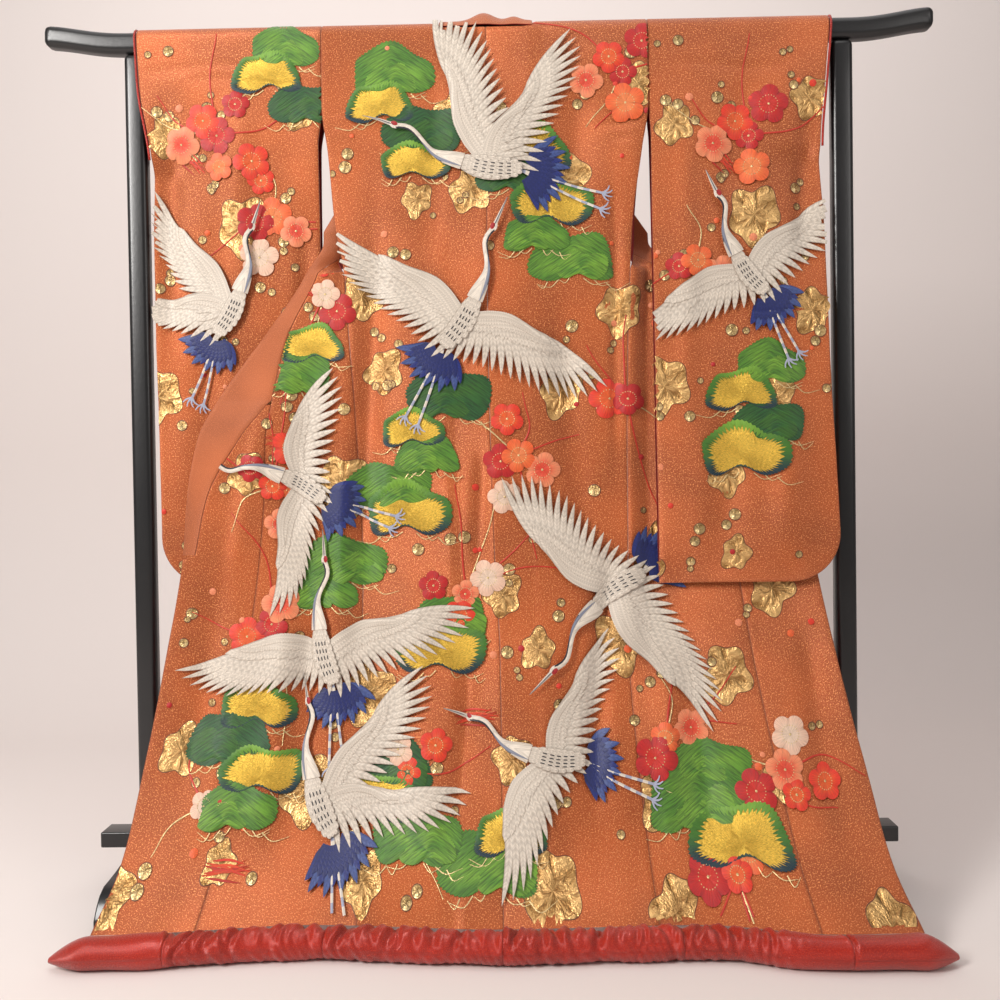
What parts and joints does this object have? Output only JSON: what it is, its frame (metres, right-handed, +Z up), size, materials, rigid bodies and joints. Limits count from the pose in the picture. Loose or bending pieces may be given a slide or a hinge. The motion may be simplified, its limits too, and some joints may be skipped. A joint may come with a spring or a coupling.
{
  "type": "uchikake wedding kimono on a kimono stand",
  "caption": "Embroidered orange brocade wedding kimono with a padded red hem, hung back outward over the rail of a black lacquered kimono stand, its fronts and hem spread out on the floor.",
  "frame": {"origin": "middle of the whole box on the floor, under the hem's forward sweep", "axes": "+Z up, +X along the rail towards the wearer's right sleeve, +Y from the garment's back towards its front, so the embroidered back faces -Y"},
  "size_m": [1.648, 0.593, 1.6237],
  "materials": {
    "brocade": "satin",
    "collar_silk": "satin",
    "hem_satin": "satin",
    "black_lacquer": "gloss"
  },
  "bodies": {
    "root": {"back_left": "brocade", "back_right": "brocade", "front_left": "brocade", "front_right": "brocade", "okumi_left": "brocade", "okumi_right": "brocade", "sleeve_left_back": "brocade", "sleeve_left_front": "brocade", "sleeve_right_back": "brocade", "sleeve_right_front": "brocade", "collar_neck": "collar_silk", "collar_left": "collar_silk", "collar_right": "collar_silk", "cuff_left_back": "hem_satin", "cuff_left_front": "hem_satin", "cuff_right_back": "hem_satin", "cuff_right_front": "hem_satin", "hem_roll_okumi_left": "hem_satin", "hem_roll_front_left": "hem_satin", "hem_roll_back_left": "hem_satin", "hem_roll_back_right": "hem_satin", "hem_roll_front_right": "hem_satin", "hem_roll_okumi_right": "hem_satin", "stand_rail": "black_lacquer", "stand_post_left": "black_lacquer", "stand_post_right": "black_lacquer", "stand_stretcher": "black_lacquer", "stand_foot_left": "black_lacquer", "stand_foot_right": "black_lacquer"}
  },
  "joints": []
}
